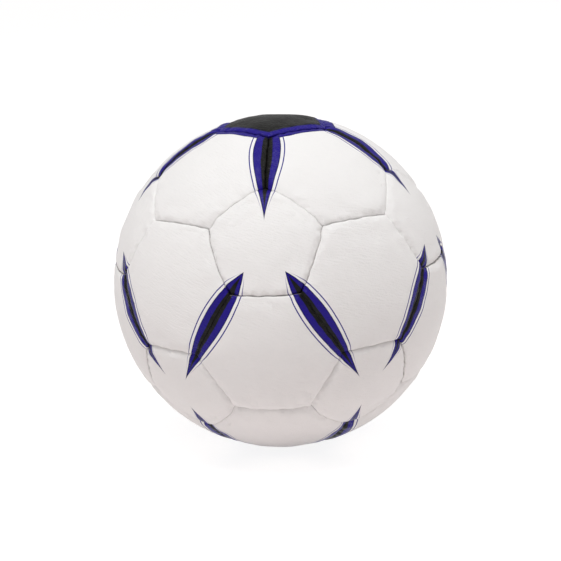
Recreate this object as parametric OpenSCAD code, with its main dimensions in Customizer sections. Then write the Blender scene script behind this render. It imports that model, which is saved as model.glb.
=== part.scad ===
// Futsal ball: thirty-two sewn panels over a bladder with damping wadding and a needle valve.
// Lengths are in millimetres. The origin is the centre of the ball, +Z runs through the top
// pentagon, and the front of the ball faces -Y.

/* [Ball] */
// Girth of the inflated ball
girth = 540; // [520:10:640]

/* [Cover panels] */
// Thickness of the synthetic leather skin
skin_t = 1.4; // [1.2:0.1:1.8]
// Depth of a seam below the surface of the ball
seam_depth = 1.4; // [1:0.1:1.8]
// Radius to which the skin rolls over into a seam
roll_r = 3; // [2.4:0.1:3.6]
// Angle at which the rolled edge leaves the surface of the panel
roll_angle = 10; // [6:1:15]
// Gap between the two skins of a seam
seam_gap = 0.2; // [0.1:0.05:0.4]
// Depth of the turned-in flange below the skin
flange_depth = 3.2; // [2.8:0.1:4]

/* [Stitching] */
// Number of stitches along a seam
stitch_count = 7; // [5:1:9]
// Width of the waxed thread, which is pressed half-round along a flange
thread_d = 1; // [0.8:0.05:1.2]
// Amount by which the thread thins where it is drawn through a hole
thread_draw = 0.2; // [0.1:0.05:0.3]
// Room around the thread, in its hole and beside the flange
thread_gap = 0.12; // [0.1:0.02:0.2]
// Distance of the stitch line from the free edge of the flange
stitch_margin = 1.4; // [1.2:0.1:1.6]
// Distance of the last stitch from the end of its seam
stitch_corner = 3.4; // [3:0.2:5]

/* [Padding] */
// Thickness of the foam under the skin
foam_t = 1.6; // [1.2:0.1:1.8]
// Thickness of the cloth plies under the foam
cloth_t = 1; // [0.8:0.1:1.4]
// Thickness of a glue line
glue_gap = 0.1; // [0.08:0.01:0.2]

/* [Bladder] */
// Wall of the bladder
bladder_t = 0.9; // [0.7:0.1:1.4]
// Room between the bladder and what lies over it
bladder_gap = 0.3; // [0.2:0.05:0.5]

/* [Wadding] */
// Height of the wadding that deadens the bounce
wadding_h = 40; // [30:1:50]
// Radius of its domed top
wadding_dome_r = 60; // [50:5:80]
// Room between the wadding and the bladder
wadding_gap = 0.3; // [0.2:0.05:0.5]

/* [Valve] */
// Radius of the neck that shows in its panel
neck_r = 4; // [3.8:0.1:5]
// Depth of the end of the neck below the surface of the ball
neck_recess = 0.6; // [0.3:0.1:1]
// Radius of the flange bonded to the bladder
valve_flange_r = 13; // [10:0.5:16]
// Radius of the stem inside the bladder
stem_r = 5.5; // [5:0.1:7]
// Thickness of the stem below the plug
stem_floor_t = 3; // [1.5:0.5:5]
// Radius of the air passage through the stem's floor
air_r = 1.5; // [1:0.1:1.8]
// Room around the valve in the panel, the padding and the bladder
valve_gap = 0.1; // [0.08:0.02:0.3]

/* [Valve plug] */
// Radius of the shaft of the plug
plug_r = 2.4; // [2:0.1:2.6]
// Length of the shaft of the plug
plug_l = 14; // [12:0.5:18]
// Radius of the head of the plug
plug_head_r = 3; // [2.9:0.1:3.4]
// Thickness of the head of the plug
plug_head_t = 1.2; // [0.8:0.1:2]
// Running clearance of the plug in the valve
plug_gap = 0.05; // [0.03:0.01:0.1]
// Radius of the channel for an inflating needle
needle_r = 1; // [0.9:0.05:1.2]
// Depth of the channel, above the lips that close by themselves
needle_depth = 10; // [8:0.5:11]

/* [Hidden] */
$fn = 96;
$fa = 4;
$fs = 0.2;

// Radii of the layers, from the surface inwards
ball_r = girth / (2 * PI);
skin_in_r = ball_r - skin_t;
flange_in_r = skin_in_r - flange_depth;
foam_out_r = skin_in_r - glue_gap;
foam_in_r = foam_out_r - foam_t;
cloth_out_r = foam_in_r - glue_gap;
cloth_in_r = cloth_out_r - cloth_t;
bladder_r = min(flange_in_r, cloth_in_r) - bladder_gap;
wadding_r = bladder_r - bladder_t - wadding_gap;

// Truncated icosahedron with an edge of 1: distance from its centre to the middle of an edge
golden = (1 + sqrt(5)) / 2;
edge_middle = 1.5 * golden;
// Half the angle that an edge takes up, and the angle from a face's centre to its edge
edge_half_angle = atan(0.5 / edge_middle);
function edge_tilt(sides) = asin(1 / (2 * tan(180 / sides) * edge_middle));

// Latitudes of the rings of panels
pentagon_lat = atan(1 / 2);
cap_hexagon_lat = 90 - edge_tilt(5) - edge_tilt(6);
belt_hexagon_lat = cap_hexagon_lat - 2 * edge_tilt(6);
fifth = 360 / 5;

// Rolled edge: a circle that leaves the surface at roll_angle and reaches the seam at its depth
roll_centre_r = ball_r - roll_r * cos(roll_angle);
roll_reach = sqrt(roll_r ^ 2 - (roll_r * cos(roll_angle) - seam_depth) ^ 2);
roll_centre_x = -seam_gap / 2 - roll_reach;

// Stitches: places along a seam, and the thread's two runs on the inner faces of the flanges
stitch_r = flange_in_r + stitch_margin;
stitch_span = edge_half_angle - stitch_corner / stitch_r * 180 / PI;
stitch_angles = [for (i = [0:stitch_count - 1]) stitch_span * (2 * i / (stitch_count - 1) - 1)];
pass_d = thread_d - thread_draw;
pass_sink = thread_d / 8;
run_x = seam_gap / 2 + skin_t + thread_gap;
run_angle = 2 * (stitch_span + thread_d / stitch_r * 180 / PI);
padding_inset = run_x + thread_d / 2 + thread_gap;

// Valve: heights from the ball's centre along the valve's axis
neck_top = ball_r - neck_recess;
plug_seat = neck_top - plug_head_t;
plug_end = plug_seat - plug_l;
stem_end = plug_end - plug_gap - stem_floor_t;
valve_flange_in_r = bladder_r + valve_gap;
valve_flange_out_r = foam_in_r - valve_gap;

// Cutting solids reach past the ball by this much
cut = 2.2 * ball_r;

// Each panel: name, number of sides, latitude, turn about the ball's axis, turn about its own axis
PENTAGONS = concat(
    [["pentagon_top", 5, 90, 0, 0]],
    [for (k = [0:4]) [str("pentagon_upper_", k + 1), 5, pentagon_lat, fifth * k, 180]],
    [for (k = [0:4]) [str("pentagon_lower_", k + 1), 5, -pentagon_lat, fifth * (k + 0.5), 0]],
    [["pentagon_bottom", 5, -90, 0, 0]]
);
CAP_HEXAGONS = [for (k = [0:4]) [str("hexagon_top_", k + 1), 6, cap_hexagon_lat, fifth * (k + 0.5), 0]];
UPPER_HEXAGONS = [for (k = [0:4]) [str("hexagon_upper_", k + 1), 6, belt_hexagon_lat, fifth * (k + 0.5), 180]];
LOWER_HEXAGONS = [for (k = [0:4]) [str("hexagon_lower_", k + 1), 6, -belt_hexagon_lat, fifth * k, 0]];
BASE_HEXAGONS = [for (k = [0:4]) [str("hexagon_bottom_", k + 1), 6, -cap_hexagon_lat, fifth * k, 180]];
// The valve sits in the rear panel of the upper belt
VALVE_PLACE = UPPER_HEXAGONS[2];
PLAIN_HEXAGONS = concat(
    CAP_HEXAGONS,
    [for (p = UPPER_HEXAGONS) if (p != VALVE_PLACE) p],
    LOWER_HEXAGONS,
    BASE_HEXAGONS
);

// Seams between two hexagons: name of the thread, its hexagons, and the edges that it sews
HEXAGON_SEAMS = [
    ["thread_top_rays", CAP_HEXAGONS, [5]],
    ["thread_upper_ring", CAP_HEXAGONS, [3]],
    ["thread_equator", UPPER_HEXAGONS, [1, 5]],
    ["thread_lower_ring", BASE_HEXAGONS, [3]],
    ["thread_bottom_rays", BASE_HEXAGONS, [5]]
];

// Puts a shape made around +Z at a panel's place on the ball
module at_panel(place)
    rotate([0, 0, place[3]])
        rotate([90 - place[2], 0, 0])
            rotate([0, 0, place[4]])
                children();

// Frame of a seam: X leaves the panel, square to the seam, and Z runs to the middle of the edge
module at_seam(sides, edge)
    rotate([0, 0, 90 + 360 / sides * edge])
        rotate([0, edge_tilt(sides), 0])
            children();

// Ball with its poles on Y, so that a panel around +Z lies on an unbroken stretch of it
module globe(r)
    rotate([90, 0, 0])
        sphere(r);

// All that lies beyond a panel's seams, or an inset within them
module beyond_seams(sides, inset)
    for (edge = [0:sides - 1])
        at_seam(sides, edge)
            translate([-inset, -cut, -cut])
                cube([cut, 2 * cut, 2 * cut]);

// Ring about a seam's X axis, over the given angle to both sides of the middle of the edge
module seam_ring(angle)
    rotate([0, 90, 0])
        rotate([0, 0, 180 - angle / 2])
            rotate_extrude(angle = angle)
                children();

// What the rolled edges take off along a panel's seams
module rolled_edges(sides)
    for (edge = [0:sides - 1])
        at_seam(sides, edge)
            seam_ring(4 * edge_half_angle)
                difference() {
                    translate([roll_centre_r, roll_centre_x])
                        square([2 * roll_r, 2 * roll_r]);
                    translate([roll_centre_r, roll_centre_x])
                        circle(roll_r);
                }

// Holes through the flanges of a panel, one for each stitch
module stitch_holes(sides)
    for (edge = [0:sides - 1], angle = stitch_angles)
        at_seam(sides, edge)
            rotate([angle, 0, 0])
                translate([-2 * skin_t, 0, stitch_r])
                    rotate([0, 90, 0])
                        cylinder(d = pass_d + 2 * thread_gap, h = 3 * skin_t, $fn = 24);

// Hole for the valve, right through what lies around +Z
module valve_hole(r)
    cylinder(r = r, h = cut);

// Skin of one panel, with its rolled edges and the flange that is turned in and sewn
module skin(sides)
    difference() {
        globe(ball_r);
        beyond_seams(sides, seam_gap / 2);
        rolled_edges(sides);
        globe(flange_in_r);
        difference() {
            globe(skin_in_r);
            beyond_seams(sides, seam_gap / 2 + skin_t);
        }
        stitch_holes(sides);
    }

// One padding layer of a panel, inside the runs of the thread
module padding(sides, out_r, in_r)
    difference() {
        globe(out_r);
        beyond_seams(sides, padding_inset);
        globe(in_r);
    }

// Thread of one seam: a half-round run along each flange, and a pass through both at each stitch
module seam_thread() {
    for (side = [-1, 1])
        seam_ring(run_angle)
            difference() {
                translate([stitch_r, side * run_x])
                    circle(d = thread_d, $fn = 24);
                translate([stitch_r - thread_d, -run_x])
                    square([2 * thread_d, 2 * run_x]);
            }
    for (angle = stitch_angles)
        rotate([angle, 0, 0])
            translate([-run_x - pass_sink, 0, stitch_r])
                rotate([0, 90, 0])
                    cylinder(d = pass_d, h = 2 * (run_x + pass_sink), $fn = 24);
}

module pentagon_panel(place)
    color(abs(place[2]) == 90 ? "#2f2f33" : "#efecea")
        at_panel(place)
            skin(5);

module hexagon_panel(place)
    color("#efecea")
        at_panel(place)
            skin(6);

module valve_panel()
    color("#efecea")
        at_panel(VALVE_PLACE)
            difference() {
                skin(6);
                valve_hole(neck_r + valve_gap);
            }

module pentagon_foam()
    color("#f4f0dc")
        for (p = PENTAGONS)
            at_panel(p)
                padding(5, foam_out_r, foam_in_r);

module hexagon_foam()
    color("#f4f0dc") {
        for (p = PLAIN_HEXAGONS)
            at_panel(p)
                padding(6, foam_out_r, foam_in_r);
        at_panel(VALVE_PLACE)
            difference() {
                padding(6, foam_out_r, foam_in_r);
                valve_hole(neck_r + valve_gap);
            }
    }

module pentagon_cloth()
    color("#dcd6c8")
        for (p = PENTAGONS)
            at_panel(p)
                padding(5, cloth_out_r, cloth_in_r);

module hexagon_cloth()
    color("#dcd6c8") {
        for (p = PLAIN_HEXAGONS)
            at_panel(p)
                padding(6, cloth_out_r, cloth_in_r);
        at_panel(VALVE_PLACE)
            difference() {
                padding(6, cloth_out_r, cloth_in_r);
                valve_hole(valve_flange_r + valve_gap);
            }
    }

module pentagon_thread(place)
    color("#e6e2d8")
        at_panel(place)
            for (edge = [0:4])
                at_seam(5, edge)
                    seam_thread();

module hexagon_thread(places, edges)
    color("#e6e2d8")
        for (p = places, edge = edges)
            at_panel(p)
                at_seam(6, edge)
                    seam_thread();

module bladder()
    color("#3a3532")
        difference() {
            sphere(bladder_r);
            sphere(bladder_r - bladder_t);
            at_panel(VALVE_PLACE)
                valve_hole(stem_r + valve_gap);
        }

module wadding()
    color("#b9b4aa")
        intersection() {
            sphere(wadding_r);
            translate([0, 0, wadding_h - wadding_r - wadding_dome_r])
                sphere(wadding_dome_r);
        }

module valve_housing()
    color("#26262a")
        at_panel(VALVE_PLACE)
            difference() {
                union() {
                    translate([0, 0, stem_end])
                        cylinder(r = stem_r, h = valve_flange_in_r + valve_gap - stem_end);
                    intersection() {
                        difference() {
                            globe(valve_flange_out_r);
                            globe(valve_flange_in_r);
                        }
                        valve_hole(valve_flange_r);
                    }
                    translate([0, 0, plug_end])
                        cylinder(r = neck_r, h = neck_top - plug_end);
                }
                translate([0, 0, plug_seat - plug_gap])
                    valve_hole(plug_head_r + plug_gap);
                translate([0, 0, plug_end - plug_gap])
                    valve_hole(plug_r + plug_gap);
                valve_hole(air_r);
            }

module valve_plug()
    color("#4a4a50")
        at_panel(VALVE_PLACE)
            difference() {
                union() {
                    translate([0, 0, plug_end])
                        cylinder(r = plug_r, h = plug_l + plug_head_t / 2);
                    translate([0, 0, plug_seat])
                        cylinder(r = plug_head_r, h = plug_head_t);
                }
                translate([0, 0, neck_top - needle_depth])
                    valve_hole(needle_r);
            }

for (p = PENTAGONS)
    pentagon_panel(p);
for (p = PLAIN_HEXAGONS)
    hexagon_panel(p);
valve_panel();
pentagon_foam();
hexagon_foam();
pentagon_cloth();
hexagon_cloth();
for (p = PENTAGONS)
    pentagon_thread(p);
for (s = HEXAGON_SEAMS)
    hexagon_thread(s[1], s[2]);
bladder();
wadding();
valve_housing();
valve_plug();
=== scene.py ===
import math
import random

import bmesh
import bpy
from mathutils import Matrix, Vector


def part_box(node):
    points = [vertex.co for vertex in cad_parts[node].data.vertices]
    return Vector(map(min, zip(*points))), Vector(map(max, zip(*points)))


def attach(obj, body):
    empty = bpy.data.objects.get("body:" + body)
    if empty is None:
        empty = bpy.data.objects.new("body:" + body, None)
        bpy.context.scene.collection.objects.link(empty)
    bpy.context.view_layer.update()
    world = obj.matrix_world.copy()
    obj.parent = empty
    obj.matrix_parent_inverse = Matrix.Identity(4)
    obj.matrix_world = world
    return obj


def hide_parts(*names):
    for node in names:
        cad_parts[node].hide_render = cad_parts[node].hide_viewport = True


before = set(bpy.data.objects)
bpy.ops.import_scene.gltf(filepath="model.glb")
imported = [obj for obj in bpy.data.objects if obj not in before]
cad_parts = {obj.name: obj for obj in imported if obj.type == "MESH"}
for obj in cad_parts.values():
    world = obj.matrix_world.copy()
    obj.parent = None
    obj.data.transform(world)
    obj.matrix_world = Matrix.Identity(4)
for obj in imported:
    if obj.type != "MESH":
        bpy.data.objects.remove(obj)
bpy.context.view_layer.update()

# Cover panels: twelve pentagons and twenty hexagons of white synthetic leather, cut flat and screen
# printed. Their edges are turned in and hand-sewn from behind, drawn tight along the seams that run
# round the ball and left slacker on the pole side of the pentagons. The air inside domes them.
MM = 0.001
ball_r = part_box("pentagon_top")[1].z
golden = (1 + math.sqrt(5)) / 2
edge_middle = 1.5 * golden
edge_points = 40
skin_t = 1.4 * MM
flange_end_r = ball_r - 4.6 * MM
grid_inset = 3.2 * MM
same_ring = 0.1 * MM
turned_insets = [inset * MM for inset in (2.5, 1.9, 1.4, 1.0, 0.65, 0.4, 0.2, 0.08, 0.02)]
stitch_inset = turned_insets[3]
lining_insets = [inset * MM for inset in (4, 9, 16, 23)]
roll_r, roll_width = 10.5 * MM, 5 * MM
sag_depth, sag_width = 0.25 * MM, 8 * MM
slot_depth, slot_width = 0.8 * MM, 0.28 * MM


def edge_tilt(sides):
    """Angle at the ball's centre from the middle of a panel to the middle of one of its edges."""
    return math.asin(1 / (2 * math.tan(math.pi / sides) * edge_middle))


def panel_apothem(sides):
    """Distance in the flat panel from its middle to an edge."""
    return ball_r * math.tan(edge_tilt(sides))


def edge_turns(sides):
    """Angles in the flat panel of the directions out through its edges."""
    return [math.pi / 2 + 2 * math.pi * edge / sides for edge in range(sides)]


def edge_axes(turn):
    """Directions in the flat panel out through an edge and along it."""
    return Vector((math.cos(turn), math.sin(turn))), Vector((-math.sin(turn), math.cos(turn)))


def edge_inset(point, sides):
    """Distance in the flat panel from a point to the nearest edge."""
    outward = max(point.x * math.cos(turn) + point.y * math.sin(turn) for turn in edge_turns(sides))
    return panel_apothem(sides) - outward


def seam_drop(inset):
    """Depth of the inflated panel's surface under the ball's at a distance from the seam."""
    rolled = max(0, roll_width - inset)
    roll = roll_r - math.sqrt(roll_r ** 2 - rolled ** 2)
    return roll + sag_depth * math.exp(-inset / sag_width) + slot_depth * math.exp(-inset / slot_width)


def pick(piece, chosen):
    """Selects points of a piece that is in edit mode."""
    mesh = bmesh.from_edit_mesh(piece.data)
    mesh.verts.index_update()
    for point in mesh.verts:
        point.select = point.index in chosen
    mesh.select_flush_mode()
    bmesh.update_edit_mesh(piece.data)


def picked(piece):
    """Numbers of the points that are selected in edit mode."""
    mesh = bmesh.from_edit_mesh(piece.data)
    mesh.verts.index_update()
    return {point.index for point in mesh.verts if point.select}


def flat_panel(sides):
    """A flat panel with its middle on +Z: a grid with rings for the turned edge, the flange and the
    lining. Also gives each point's distance from the edge and its radius on the finished ball."""
    apothem = panel_apothem(sides)
    bpy.ops.object.select_all(action="DESELECT")
    bpy.ops.mesh.primitive_circle_add(vertices=sides, fill_type="TRIFAN", calc_uvs=False,
                                      radius=(apothem - grid_inset) / math.cos(math.pi / sides),
                                      location=(0, 0, ball_r), rotation=(0, 0, math.pi / sides))
    panel = bpy.context.object
    bpy.ops.object.transform_apply(location=True, rotation=True, scale=True)
    bpy.ops.object.mode_set(mode="EDIT")
    bpy.ops.mesh.select_mode(type="VERT")
    bpy.ops.mesh.subdivide(number_cuts=edge_points - 1)
    mesh = bmesh.from_edit_mesh(panel.data)
    mesh.verts.index_update()
    insets = {point.index: edge_inset(point.co, sides) for point in mesh.verts}
    radii = {index: ball_r - seam_drop(inset) for index, inset in insets.items()}

    fold_inset = turned_insets[-1]
    turned = [(inset, ball_r - seam_drop(inset)) for inset in turned_insets]
    flange = [(fold_inset, flange_end_r), (fold_inset + skin_t, flange_end_r),
              (fold_inset + skin_t, ball_r - 2 * skin_t)]
    lining = [(inset, ball_r - skin_t - seam_drop(inset)) for inset in lining_insets]
    pick(panel, {index for index, inset in insets.items() if inset < grid_inset + same_ring})
    last_inset = grid_inset
    for inset, radius in turned + flange + lining:
        bpy.ops.mesh.extrude_region()
        scale = (apothem - inset) / (apothem - last_inset)
        bpy.ops.transform.resize(value=(scale, scale, 1), center_override=(0, 0, ball_r))
        for index in picked(panel):
            insets[index] = inset
            radii[index] = radius
        last_inset = inset
    bpy.ops.mesh.edge_face_add()
    bpy.ops.object.mode_set(mode="OBJECT")
    return panel, insets, radii


edge_bow, edge_bow_reach = 0.35 * MM, 17 * MM
corner_draw, corner_draw_reach = 0.9 * MM, 8 * MM
tug_grip = 1 * MM


def tug(piece, flat, place, shift, reach):
    """Moves the flat leather at a place, and what lies within reach of it by less."""
    pick(piece, {index for index, point in enumerate(flat) if (point.xy - place).length < tug_grip})
    bpy.ops.transform.translate(value=(shift.x, shift.y, 0), use_proportional_edit=True,
                                proportional_edit_falloff="SMOOTH", proportional_size=reach)


def draw_edges(panel, flat, sides):
    """Bows the flat panel's edges and draws in its corners, as the sewing does."""
    apothem = panel_apothem(sides)
    bpy.ops.object.mode_set(mode="EDIT")
    for edge, turn in enumerate(edge_turns(sides)):
        out, side = edge_axes(turn)
        middle, end = out * apothem, side * apothem * math.tan(math.pi / sides)
        if sides == 5:
            tug(panel, flat, middle, out * edge_bow, edge_bow_reach)
            tug(panel, flat, middle + end, (middle + end).normalized() * -corner_draw, corner_draw_reach)
        elif edge % 2 == 0:
            tug(panel, flat, middle, out * -edge_bow, edge_bow_reach)
        else:
            tug(panel, flat, middle + end, side * corner_draw, corner_draw_reach)
            tug(panel, flat, middle - end, side * -corner_draw, corner_draw_reach)
    bpy.ops.object.mode_set(mode="OBJECT")


def cast_to_ball(panel, name, factor, group=""):
    """Moves a panel's points, or those of a vertex group, towards the ball's surface."""
    cast = panel.modifiers.new(name, "CAST")
    cast.cast_type = "SPHERE"
    cast.factor = factor
    cast.use_radius_as_size = False
    cast.size = ball_r
    cast.vertex_group = group
    bpy.ops.object.modifier_apply(modifier=name)


stitch_count = 7
stitch_corner = 3.5 * MM
stitch_dip, stitch_reach = 0.34 * MM, 2.4 * MM
stitch_slackest, stitch_tightest = 0.5, 1.4
corner_dip, corner_reach = 0.6 * MM, 5.5 * MM


def pull(piece, chosen, radius, reach=0):
    """Moves points towards the ball's centre, from the ball's surface to a radius, and takes along
    the leather within reach."""
    pick(piece, chosen)
    scale = radius / ball_r
    bpy.ops.transform.resize(value=(scale,) * 3, center_override=(0, 0, 0),
                             use_proportional_edit=reach > 0, proportional_edit_falloff="SMOOTH",
                             proportional_size=max(reach, MM))


def sew(panel, flat, insets, radii, sides):
    """Draws a wrapped panel down along its seams, and further at each stitch and corner."""
    draw = random.Random(sides)
    apothem = panel_apothem(sides)
    half_edge = apothem * math.tan(math.pi / sides)
    span = half_edge - stitch_corner
    fold = [index for index, inset in insets.items()
            if inset == stitch_inset and radii[index] > flange_end_r]

    def nearest(place):
        return {min(fold, key=lambda index: (flat[index].xy - place).length)}

    bpy.ops.object.mode_set(mode="EDIT")
    for radius in sorted(set(round(r, 7) for r in radii.values())):
        pull(panel, {index for index, r in radii.items() if round(r, 7) == radius}, radius)
    for turn in edge_turns(sides):
        out, side = edge_axes(turn)
        ring = out * (apothem - stitch_inset)
        for stitch in range(stitch_count):
            along = span * (2 * stitch / (stitch_count - 1) - 1)
            dip = stitch_dip * draw.uniform(stitch_slackest, stitch_tightest)
            pull(panel, nearest(ring + side * along), ball_r - dip, stitch_reach)
        pull(panel, nearest(ring + side * half_edge), ball_r - corner_dip, corner_reach)
    bpy.ops.mesh.select_all(action="SELECT")
    bpy.ops.mesh.normals_make_consistent(inside=False)
    bpy.ops.object.mode_set(mode="OBJECT")
    bpy.ops.object.shade_smooth_by_angle(angle=math.radians(50))


slack = 0.5
loose_from, loose_depth, loose_rise = 0.3, 2.6 * MM, 2.5
wave_full, wave_fade = 1.5 * MM, 4.5 * MM
lump_depth, lump_rest = 2 * MM, 0.3
lump_start, lump_rise = 1 * MM, 3 * MM
lump_end, lump_fall = 8 * MM, 12 * MM
print_span = 80 * MM


def ramp(distance, start, length):
    """0 up to a start, and rising from there to 1 over a length."""
    return min(1, max(0, distance - start) / length)


def master_panel(sides, slack_edges):
    """One sewn panel with its middle on +Z. Its map is the flat panel's plan, and its vertex groups
    say where the leather is lumpy beside the seams and where it follows their waves."""
    panel, insets, radii = flat_panel(sides)
    apothem = panel_apothem(sides)
    flat = [point.co.copy() for point in panel.data.vertices]
    plan = panel.data.uv_layers.new(name="panel_plan")
    for corner in panel.data.loops:
        point = flat[corner.vertex_index]
        plan.uv[corner.index].vector = (point.x / print_span + 0.5, point.y / print_span + 0.5)
    draw_edges(panel, flat, sides)
    cast_to_ball(panel, "wrap", 1)
    sew(panel, flat, insets, radii, sides)

    loose = panel.vertex_groups.new(name="loose")
    for edge in slack_edges:
        out, side = edge_axes(edge_turns(sides)[edge])
        for index, radius in radii.items():
            away = flat[index].xy.dot(out)
            along = abs(flat[index].xy.dot(side))
            if away > loose_from * apothem and radius > ball_r - loose_depth:
                ease = max(0, 1 - along / (away * math.tan(math.pi / sides)))
                loose.add([index], min(1, loose_rise * ease), "ADD")
    cast_to_ball(panel, "loosen", slack, "loose")

    shoulder = panel.vertex_groups.new(name="shoulder")
    seam = panel.vertex_groups.new(name="seam")
    for index, inset in insets.items():
        seam.add([index], 1 - ramp(inset, wave_full, wave_fade), "REPLACE")
        if radii[index] > ball_r - lump_depth:
            fall = max(lump_rest, 1 - ramp(inset, lump_end, lump_fall))
            shoulder.add([index], ramp(inset, lump_start, lump_rise) * fall, "REPLACE")
    return panel


class Shade:
    """An output socket of a material's node. Sums on it add Math nodes to the material."""

    def __init__(self, tree, socket=None):
        self.tree = tree
        self.socket = socket

    def node(self, kind, settings={}, sockets={}, out=0):
        """Adds a node with its settings and the values or links of its sockets."""
        made = self.tree.nodes.new("ShaderNode" + kind)
        for name, value in settings.items():
            setattr(made, name, value)
        for name, value in sockets.items():
            if isinstance(value, Shade):
                self.tree.links.new(value.socket, made.inputs[name])
            else:
                made.inputs[name].default_value = value
        return Shade(self.tree, made.outputs[out] if made.outputs else None)

    def out(self, name):
        """Another output of the same node."""
        return Shade(self.tree, self.socket.node.outputs[name])

    def math(self, operation, *terms):
        return self.node("Math", {"operation": operation}, dict(enumerate(terms)))

    def __add__(self, other):
        return self.math("ADD", self, other)

    def __radd__(self, other):
        return self.math("ADD", other, self)

    def __sub__(self, other):
        return self.math("SUBTRACT", self, other)

    def __rsub__(self, other):
        return self.math("SUBTRACT", other, self)

    def __mul__(self, other):
        return self.math("MULTIPLY", self, other)

    def __rmul__(self, other):
        return self.math("MULTIPLY", other, self)

    def __truediv__(self, other):
        return self.math("DIVIDE", self, other)

    def __pow__(self, other):
        return self.math("POWER", self, other)

    def clamp(self, low=0.0, high=1.0):
        return self.node("Clamp", {}, {"Value": self, "Min": low, "Max": high})

    def mix(self, factor, under, over):
        """Colour over another one, by a factor."""
        return self.node("Mix", {"data_type": "RGBA"}, {0: factor, 6: under, 7: over}, out=2)

    def place(self):
        """A point's place in the object's own coordinates."""
        return self.node("TexCoord", out="Object")

    def noise(self, size, detail=2.0, roughness=0.5):
        """Cloudy noise with features of about a size, on the object's own coordinates."""
        return self.node("TexNoise", {}, {"Vector": self.place(), "Scale": 1 / size, "Detail": detail,
                                          "Roughness": roughness})

    def bump(self, height, depth, strength=1.0, under=None):
        """A normal that follows a height, on top of another one."""
        sockets = {"Strength": strength, "Distance": depth, "Height": height}
        if under is not None:
            sockets["Normal"] = under
        return self.node("Bump", {}, sockets)

    def end(self, surface, kind="OutputMaterial"):
        """Joins a surface to the output of a material or a world."""
        self.node(kind, {}, {"Surface": surface})

    def coat(self, sockets):
        """Gives a material its one principled surface."""
        self.end(self.node("BsdfPrincipled", {}, sockets))


def new_material(name):
    """An empty material and the start for its nodes."""
    material = bpy.data.materials.new(name)
    material.use_nodes = True
    material.node_tree.nodes.clear()
    return material, Shade(material.node_tree)


# The print's sizes are in millimetres on the flat panel.
white = (0.832, 0.819, 0.81, 1)
greyed_white = tuple(c * 0.97 for c in white[:3]) + (1,)
# Painted shade: the dark colour laid into the seams in place of the shadow in their grooves.
painted_seam_shade = (0.16, 0.14, 0.135, 1)
violet = (0.016, 0.0075, 0.21, 1)
navy = (0.003, 0.002, 0.07, 1)
charcoal = (0.0075, 0.0072, 0.0064, 1)
ink_edge = 0.12
tip_trim = 0.1
navy_line = 0.55
core_share, core_trim = 0.46, 0.5
outline_inner, outline_outer, outline_full = 1.5, 2.1, 4
pole_border, pole_line = 3.0, 3.6
collar = 5.5
leaf_taper, leaf_fullness = 1.6, 5.65
ray_root, ray_reach, ray_half = 14, 60, 7.6
needle_head, needle_tail, needle_half = 15, 22, 6
seam_length = 2 * panel_apothem(6) * math.tan(math.pi / 6) / MM
# Painted shade in the seams: its reach, its tone, and a deeper tone along the seams round the ball.
# The panel above shades the seams round the ball from the overhead light, so they get deeper painted
# shade.
tight_edges = {5: (0,), 6: (0, 3)}
# The lower panels lie further from that light, so they get a wider and darker painted shade.
seam_tones = {"pole": (0, 0.35, 0), "ray": (0, 0.35, 0.65), "upper": (0, 0.35, 0.65),
              "lower": (0.12, 0.55, 0.72)}
seam_soft, tight_reach = 0.3, 0.15
shade_patches, tight_patches = (3.2 * MM, 2.4, 0.75), (5 * MM, 1.6, 0.1)
# The leather's grain has fine cells and pores, slanting creases and a slight swell.
mottle_size, fine_size = 26 * MM, 2.2 * MM
cell_size, pore_size, swell_size = 0.75 * MM, 0.5 * MM, 7 * MM
crease_across, crease_along = (0.4, 1.15), (0.2, -0.07)
grain_depth, swell_depth = 0.14 * MM, 0.12 * MM
plain_roughness, ink_polish = 0.52, 0.2


def below(value, limit, soft=ink_edge):
    """1 where a value is under its limit, with a soft edge."""
    return ((limit - value) / soft + 0.5).clamp()


def patches(shade, size, gain, gap):
    """Uneven patches of about a size, with gaps between them."""
    return (shade.noise(size, 1) * gain - gap).clamp()


def leaf_width(along, length, widest):
    """Half width of a printed leaf at a distance from its blunter tip."""
    done = (along / length).clamp()
    return leaf_fullness * widest * done * (1 - done) ** leaf_taper


def ray_width(along):
    """Half width of a ray at a distance from the pole pentagon's corner."""
    return leaf_width(along + ray_root, ray_root + ray_reach, ray_half)


def needle_width(along):
    """Half width of a needle at a distance from its upper tip."""
    return leaf_width(along, needle_head + seam_length + needle_tail, needle_half)


def printed_leaves(shade, sides, printed, x, y):
    """The leaves on a panel: the distance from each one's middle line, and its half width there."""
    if printed == "pole":
        return []
    apothem = panel_apothem(sides) / MM
    half_edge = apothem * math.tan(math.pi / sides)
    side_x = shade.math("ABSOLUTE", x)
    if sides == 6:
        slant = math.radians(30)
        across = apothem - (side_x * math.cos(slant) + y * math.sin(slant))
        along = half_edge - (y * math.cos(slant) - side_x * math.sin(slant))
        if printed == "ray":
            return [(across, ray_width(along))]
        if printed == "upper":
            return [(across, needle_width(needle_head + seam_length - along))]
        return [(across, needle_width(needle_head + along))]
    corner = half_edge / math.sin(math.pi / 5)
    slant = math.radians(54)
    inward = corner - (side_x * math.cos(slant) + y * math.sin(slant))
    across = shade.math("ABSOLUTE", side_x * math.sin(slant) - y * math.cos(slant))
    reached = needle_head - inward if printed == "upper" else needle_head + seam_length + inward
    return [(side_x, ray_width(y + (corner + seam_length))), (across, needle_width(reached))]


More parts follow.
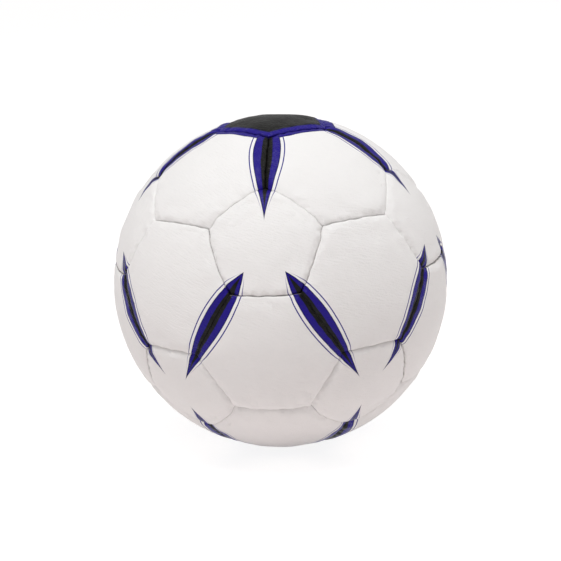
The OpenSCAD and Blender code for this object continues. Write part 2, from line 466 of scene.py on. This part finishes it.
def leather(name, sides, printed):
    """Grained synthetic leather with its print, which follows the flat panel's plan, and painted seam
    shade.
    """
    material, shade = new_material(name)
    apothem = panel_apothem(sides) / MM
    plan = shade.node("SeparateXYZ", {}, {0: shade.node("UVMap", {"uv_map": "panel_plan"})})
    x = (plan.out("X") - 0.5) * (print_span / MM)
    y = (plan.out("Y") - 0.5) * (print_span / MM)
    inset = tight_inset = apothem
    for edge, turn in enumerate(edge_turns(sides)):
        away = apothem - (x * math.cos(turn) + y * math.sin(turn))
        inset = shade.math("MINIMUM", inset, away)
        if edge in tight_edges[sides]:
            tight_inset = shade.math("MINIMUM", tight_inset, away)

    mottle = shade.noise(mottle_size, 3) - 0.5
    fine = shade.noise(fine_size, 4) - 0.5
    colour = shade.mix((0.5 + 0.9 * mottle + 0.5 * fine).clamp(), greyed_white, white)
    ink = 0.0
    if printed == "pole":
        ink = 1.0
        colour = shade.mix(below(inset, pole_line), charcoal, navy)
        colour = shade.mix(below(inset, pole_border), colour, violet)
    if printed == "ray":
        ink = below(apothem - y, collar)
        colour = shade.mix(ink, colour, navy)
        colour = shade.mix(below(apothem - y, collar - navy_line), colour, violet)
    for across, width in printed_leaves(shade, sides, printed, x, y):
        inked = below(across + tip_trim, width)
        ink = shade.math("MAXIMUM", ink, inked)
        colour = shade.mix(inked, colour, navy)
        colour = shade.mix(below(across, width - navy_line), colour, violet)
        colour = shade.mix(below(across, width * core_share - core_trim), colour, charcoal)
        taper = (width / outline_full).clamp()
        line = below(across, width + outline_outer * taper) * below(width + outline_inner * taper, across)
        colour = shade.mix(line * taper, colour, violet)

    # Painted shade along the seams, deeper along the seams round the ball and on the lower panels.
    reach, tone, tight_shade_tone = seam_tones[printed]
    shadow = below(inset, reach, seam_soft) * patches(shade, *shade_patches)
    colour = shade.mix(shadow * tone, colour, painted_seam_shade)
    tight_seam_shadow = below(tight_inset, tight_reach, seam_soft) * patches(shade, *tight_patches)
    colour = shade.mix(tight_seam_shadow * tight_shade_tone, colour, painted_seam_shade)

    cells = shade.node("TexVoronoi", {"feature": "SMOOTH_F1"},
                       {"Vector": shade.place(), "Scale": 1 / cell_size, "Smoothness": 0.6})
    lay = shade.node("CombineXYZ", {}, {0: crease_across[0] * x + crease_across[1] * y,
                                        1: crease_along[0] * x + crease_along[1] * y})
    creases = shade.node("TexNoise", {}, {"Vector": lay, "Scale": 1.0, "Detail": 2.0})
    grain = cells * 0.6 + shade.noise(pore_size, 2) * 0.5 + creases * 1.8 - 1.5
    swell = shade.bump(shade.noise(swell_size, 2), swell_depth, 0.5)
    relief = shade.bump(grain * (1 + ink), grain_depth, 0.8, swell)
    roughness = plain_roughness + 0.12 * fine + 0.1 * mottle - ink * ink_polish
    shade.coat({"Base Color": colour, "Roughness": roughness, "Normal": relief, "IOR": 1.46,
                "Specular IOR Level": 0.16})
    return material


pentagon_lat = math.degrees(math.atan(0.5))
cap_lat = 90 - math.degrees(edge_tilt(5) + edge_tilt(6))
belt_lat = cap_lat - 2 * math.degrees(edge_tilt(6))
leathers = {"pole": leather("pole_leather", 5, "pole"),
            "pentagon_upper": leather("upper_pentagon_leather", 5, "upper"),
            "pentagon_lower": leather("lower_pentagon_leather", 5, "lower"),
            "cap": leather("cap_leather", 6, "ray"),
            "belt_upper": leather("upper_belt_leather", 6, "upper"),
            "belt_lower": leather("lower_belt_leather", 6, "lower")}
pole_places = {"pentagon_top": (90, 0, 0, "pole"), "pentagon_bottom": (-90, 0, 0, "pole")}
pentagon_places, cap_places, belt_places = {}, {}, {}
for k in range(5):
    upper_belt = "valve_panel" if k == 2 else f"hexagon_upper_{k + 1}"
    pentagon_places[f"pentagon_upper_{k + 1}"] = (pentagon_lat, 72 * k, 180, "pentagon_upper")
    pentagon_places[f"pentagon_lower_{k + 1}"] = (-pentagon_lat, 36 + 72 * k, 0, "pentagon_lower")
    cap_places[f"hexagon_top_{k + 1}"] = (cap_lat, 36 + 72 * k, 0, "cap")
    cap_places[f"hexagon_bottom_{k + 1}"] = (-cap_lat, 72 * k, 180, "cap")
    belt_places[upper_belt] = (belt_lat, 36 + 72 * k, 180, "belt_upper")
    belt_places[f"hexagon_lower_{k + 1}"] = (-belt_lat, 72 * k, 0, "belt_lower")


def clouds(name, size, depth):
    """A cloudy texture for uneven surfaces."""
    texture = bpy.data.textures.new(name, "CLOUDS")
    texture.noise_scale = size
    texture.noise_depth = depth
    return texture


def displace(piece, name, texture, strength, level=0.5, group="", direction="NORMAL"):
    """Makes a piece uneven by a texture, all over or in a vertex group."""
    uneven = piece.modifiers.new(name, "DISPLACE")
    uneven.texture = texture
    uneven.texture_coords = "LOCAL"
    uneven.direction = direction
    uneven.vertex_group = group
    uneven.strength = strength
    uneven.mid_level = level
    bpy.ops.object.modifier_apply(modifier=name)


def cut(piece, name, tool, operation):
    """Cuts a piece with a tool, which is then taken away."""
    bpy.context.view_layer.objects.active = piece
    cutter = piece.modifiers.new(name, "BOOLEAN")
    cutter.operation = operation
    cutter.object = tool
    bpy.ops.object.modifier_apply(modifier=name)
    bpy.data.objects.remove(tool)


lumps = clouds("shoulder_lumps", 12 * MM, 1)
lump_height, lump_level = 1.3 * MM, 0.62
waves = clouds("seam_waves", 5 * MM, 1)
waves.cloud_type = "COLOR"
wave_width = 0.8 * MM
valve_hole_r, punch_length = 4.1 * MM, 20 * MM


def place_panel(master, node, lat, azimuth, spin, finish):
    """A copy of the master panel at its place on the ball, with its own unevenness."""
    panel = master.copy()
    panel.data = master.data.copy()
    panel.name = panel.data.name = "cover_" + node
    bpy.context.collection.objects.link(panel)
    bpy.ops.object.select_all(action="DESELECT")
    if node == "valve_panel":
        bpy.ops.mesh.primitive_cylinder_add(vertices=64, radius=valve_hole_r, depth=punch_length,
                                            location=(0, 0, ball_r))
        cut(panel, "valve_hole", bpy.context.object, "DIFFERENCE")
    panel.select_set(True)
    bpy.context.view_layer.objects.active = panel
    panel.matrix_world = (Matrix.Rotation(math.radians(azimuth), 4, "Z")
                          @ Matrix.Rotation(math.radians(90 - lat), 4, "X")
                          @ Matrix.Rotation(math.radians(spin), 4, "Z"))
    bpy.ops.object.transform_apply(location=True, rotation=True, scale=True)
    displace(panel, "uneven", lumps, lump_height, lump_level, "shoulder")
    displace(panel, "wavy", waves, wave_width, group="seam", direction="RGB_TO_XYZ")
    panel.data.materials.append(leathers[finish])
    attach(panel, "ball")
    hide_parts(node)
    "cover_dark" if finish == "pole" else "cover_white"


for sides, slack_edges, places in ((5, (), pole_places), (5, (2, 3), pentagon_places),
                                   (6, (2, 4), cap_places), (6, (), belt_places)):
    master = master_panel(sides, slack_edges)
    for node, place in places.items():
        place_panel(master, node, *place)
    bpy.data.objects.remove(master)


# Padding: a layer of soft closed-cell foam and plies of woven cotton glued behind every panel.
# Both are die-cut a little smaller than the panel, so that its turned edge stays free for sewing.
def dress(nodes, material):
    """Gives carried-over nodes their finish."""
    for node in nodes:
        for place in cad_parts[node].material_slots:
            place.material = material


foam_dark, foam_pale = (0.8, 0.76, 0.6, 1), (0.88, 0.85, 0.7, 1)
foam_cell, foam_cell_depth, foam_stain = 0.6 * MM, 0.2 * MM, 9 * MM
material, shade = new_material("foam")
cells = shade.node("TexVoronoi", {}, {"Vector": shade.place(), "Scale": 1 / foam_cell})
shade.coat({"Base Color": shade.mix(shade.noise(foam_stain, 3), foam_dark, foam_pale),
            "Roughness": 0.8 + 0.1 * cells, "Normal": shade.bump(cells, foam_cell_depth, 0.6)})
dress(("pentagon_foam", "hexagon_foam"), material)

cotton_dark, cotton_pale = (0.5, 0.46, 0.39, 1), (0.74, 0.7, 0.62, 1)
yarn_scale, yarn_depth, cotton_stain = 260.0, 0.15 * MM, 12 * MM
material, shade = new_material("cotton_cloth")
yarns = {"Vector": shade.place(), "Scale": yarn_scale, "Distortion": 0.3}
warp = shade.node("TexWave", {"bands_direction": "X"}, yarns)
weft = shade.node("TexWave", {"bands_direction": "Z"}, yarns)
weave = shade.math("MAXIMUM", warp.out("Fac"), weft.out("Fac"))
worn = weave * 0.6 + shade.noise(cotton_stain) * 0.4
shade.coat({"Base Color": shade.mix(worn, cotton_dark, cotton_pale),
            "Roughness": 0.82 + 0.1 * weave, "Normal": shade.bump(weave, yarn_depth, 0.7)})
dress(("pentagon_cloth", "hexagon_cloth"), material)

# Thread: waxed five-ply polyester, drawn tight through the punched holes of both flanges by hand.
# The twist of the plies shows as fine slanting lines under the wax.
thread_dark, thread_pale = (0.6, 0.57, 0.5, 1), (0.82, 0.8, 0.74, 1)
ply_scale, ply_depth, wax_patch = 420.0, 0.12 * MM, 6 * MM
material, shade = new_material("waxed_thread")
twist = {"Vector": shade.place(), "Scale": ply_scale, "Distortion": 1.2}
ply = shade.node("TexWave", {"bands_direction": "DIAGONAL"}, twist).out("Fac")
waxed = ply * 0.7 + shade.noise(wax_patch) * 0.3
shade.coat({"Base Color": shade.mix(waxed, thread_dark, thread_pale),
            "Roughness": 0.42 + 0.15 * ply, "Normal": shade.bump(ply, ply_depth, 0.6)})
dress([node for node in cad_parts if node.startswith("thread_")], material)


# Bladder: one hollow ball of black butyl rubber, dusted with talc when it goes into the cover.
# The valve's flange is bonded to it at the back.
rubber_speck, rubber_speck_depth = 0.5 * MM, 0.05 * MM


def rubber(name, dark, dusty, roughness, dust_size):
    """Moulded rubber with a matt bloom in patches."""
    material, shade = new_material(name)
    dust = shade.noise(dust_size, 4, 0.6)
    specks = shade.noise(rubber_speck, 2)
    shade.coat({"Base Color": shade.mix((dust * 1.6 - 0.45).clamp(), dark, dusty),
                "Roughness": roughness + 0.18 * dust,
                "Normal": shade.bump(specks, rubber_speck_depth, 0.4)})
    return material


butyl_black, talc_grey = (0.022, 0.02, 0.019, 1), (0.075, 0.07, 0.065, 1)
dress(["bladder"], rubber("butyl_rubber", butyl_black, talc_grey, 0.6, 18 * MM))

# Wadding: a loose lump of felted fibre put into the bladder to deaden its bounce.
# It lies at the bottom, flattened under its own weight and hollowed by the bladder's curve.
wadding_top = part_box("wadding")[1].z
bowl_gap = 1.6 * MM
bowl_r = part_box("bladder")[1].z - bowl_gap
mound_r = 60 * MM
felt_size = 1.6 * MM
tuft_size, tuft_height = 11 * MM, 3 * MM
bpy.ops.object.select_all(action="DESELECT")
bpy.ops.mesh.primitive_ico_sphere_add(subdivisions=5, radius=mound_r,
                                      location=(0, 0, wadding_top - mound_r))
wadding = bpy.context.object
wadding.name = wadding.data.name = "fibre_wadding"
bpy.ops.object.transform_apply(location=True, rotation=True, scale=True)
bpy.ops.mesh.primitive_ico_sphere_add(subdivisions=6, radius=bowl_r)
cut(wadding, "lens", bpy.context.object, "INTERSECT")
felt = wadding.modifiers.new("felt", "REMESH")
felt.mode = "VOXEL"
felt.voxel_size = felt_size
bpy.ops.object.modifier_apply(modifier="felt")
settle = wadding.modifiers.new("settle", "SMOOTH")
settle.iterations = 8
bpy.ops.object.modifier_apply(modifier="settle")
displace(wadding, "tuft", clouds("tufts", tuft_size, 3), tuft_height, level=1)
bpy.ops.object.select_all(action="DESELECT")
wadding.select_set(True)
bpy.ops.object.shade_smooth()
fibre_dark, fibre_pale = (0.3, 0.28, 0.25, 1), (0.62, 0.59, 0.53, 1)
strand_size, strand_depth, clump_size = 0.9 * MM, 0.5 * MM, 14 * MM
material, shade = new_material("felted_fibre")
strand = shade.noise(strand_size, 5, 0.7)
felted = strand * 0.7 + shade.noise(clump_size) * 0.4
shade.coat({"Base Color": shade.mix(felted, fibre_dark, fibre_pale),
            "Roughness": 0.85 + 0.1 * strand, "Normal": shade.bump(strand, strand_depth, 0.8)})
wadding.data.materials.append(material)
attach(wadding, "ball")
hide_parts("wadding")

# Valve: a moulded black rubber housing whose flange is vulcanised to the bladder and whose neck shows
# in a small hole of its panel. A softer plug is pushed into it, and a needle goes through the plug.
valve_black, valve_bloom = (0.02, 0.02, 0.022, 1), (0.05, 0.05, 0.052, 1)
plug_grey, plug_bloom = (0.05, 0.05, 0.055, 1), (0.1, 0.1, 0.105, 1)
dress(["valve_housing"], rubber("valve_rubber", valve_black, valve_bloom, 0.45, 5 * MM))
dress(["valve_plug"], rubber("plug_rubber", plug_grey, plug_bloom, 0.42, 3 * MM))

# Studio: a pale floor that keeps the ball's soft shadow, and a white surround that is dimmer in front.
# The main softbox hangs above the ball and a little in front, with weaker ones around it.
floor_size = 12
paper_colour, plain_white = (0.9, 0.83, 0.82, 1), (1, 1, 1, 1)
floor_glow, floor_glow_share, floor_seen_share = 1.27, 0.1, 0.6
room_level, room_front_dim = 0.46, 0.41
bpy.ops.object.select_all(action="DESELECT")
bpy.ops.mesh.primitive_plane_add(size=floor_size, location=(0, 0, -ball_r))
floor = bpy.context.object
floor.name = "floor"
material, shade = new_material("pale_floor")
ray = shade.node("LightPath")
mirrored = shade.math("MAXIMUM", ray.out("Is Glossy Ray"), ray.out("Is Transmission Ray"))
seen = shade.math("MAXIMUM", ray.out("Is Camera Ray"), mirrored)
paper = shade.node("BsdfDiffuse", {}, {"Color": paper_colour})
glow = shade.node("Emission", {}, {"Color": plain_white, "Strength": floor_glow})
glow_share = floor_glow_share + floor_seen_share * seen
shade.end(shade.node("MixShader", {}, {0: glow_share, 1: paper, 2: glow}))
floor.data.materials.append(material)

world = bpy.data.worlds.new("surround")
bpy.context.scene.world = world
world.use_nodes = True
world.node_tree.nodes.clear()
shade = Shade(world.node_tree)
ray = shade.node("LightPath")
way = shade.node("SeparateXYZ", {}, {0: shade.node("TexCoord", out="Generated")})
front = shade.math("MAXIMUM", way.out("Y") * -1, 0)
room_light = room_level - room_front_dim * front * front
room = shade.node("Background", {}, {"Color": plain_white, "Strength": room_light})
sky = shade.node("Background", {}, {"Color": plain_white, "Strength": 1.0})
shade.end(shade.node("MixShader", {}, {0: ray.out("Is Camera Ray"), 1: room, 2: sky}), "OutputWorld")


def softbox(name, place, size, power):
    """A square lamp that faces the ball."""
    lamp = bpy.data.lights.new(name, "AREA")
    lamp.size = size
    lamp.energy = power
    box = bpy.data.objects.new(name, lamp)
    bpy.context.collection.objects.link(box)
    box.location = place
    box.rotation_euler = Vector(place).to_track_quat("Z", "Y").to_euler()


softbox("softbox_top", (-0.12, -0.6, 1.5), 0.6, 17.3)
softbox("softbox_front", (0, -1.2, 1.75), 1.2, 0.8)
softbox("softbox_left", (-1.4, -0.6, 0.1), 1.0, 2.5)
softbox("softbox_right", (1.2, 0.5, 1.0), 1.0, 4.4)

# Camera: a long lens in front of the ball, a little above it and turned a little to its right.
# It is rolled slightly, because the real ball lies a little askew.
view_azimuth, view_elevation, view_roll = (math.radians(angle) for angle in (5.10, 14.75, -2.61))
view_distance = 8.63 * ball_r
sensor_w = 36
lens_mm = 91.8
back = Vector((math.cos(view_elevation) * math.sin(view_azimuth),
               -math.cos(view_elevation) * math.cos(view_azimuth), math.sin(view_elevation)))
right = Vector((math.cos(view_azimuth), math.sin(view_azimuth), 0))
facing = Matrix((right, back.cross(right), back)).transposed() @ Matrix.Rotation(view_roll, 3, "Z")
camera_data = bpy.data.cameras.new("camera")
camera_data.sensor_width = sensor_w
camera_data.lens = lens_mm
camera = bpy.data.objects.new("camera", camera_data)
bpy.context.collection.objects.link(camera)
camera.matrix_world = Matrix.Translation(back * view_distance) @ facing.to_4x4()
bpy.context.scene.camera = camera
bpy.context.scene.view_settings.view_transform = "Standard"
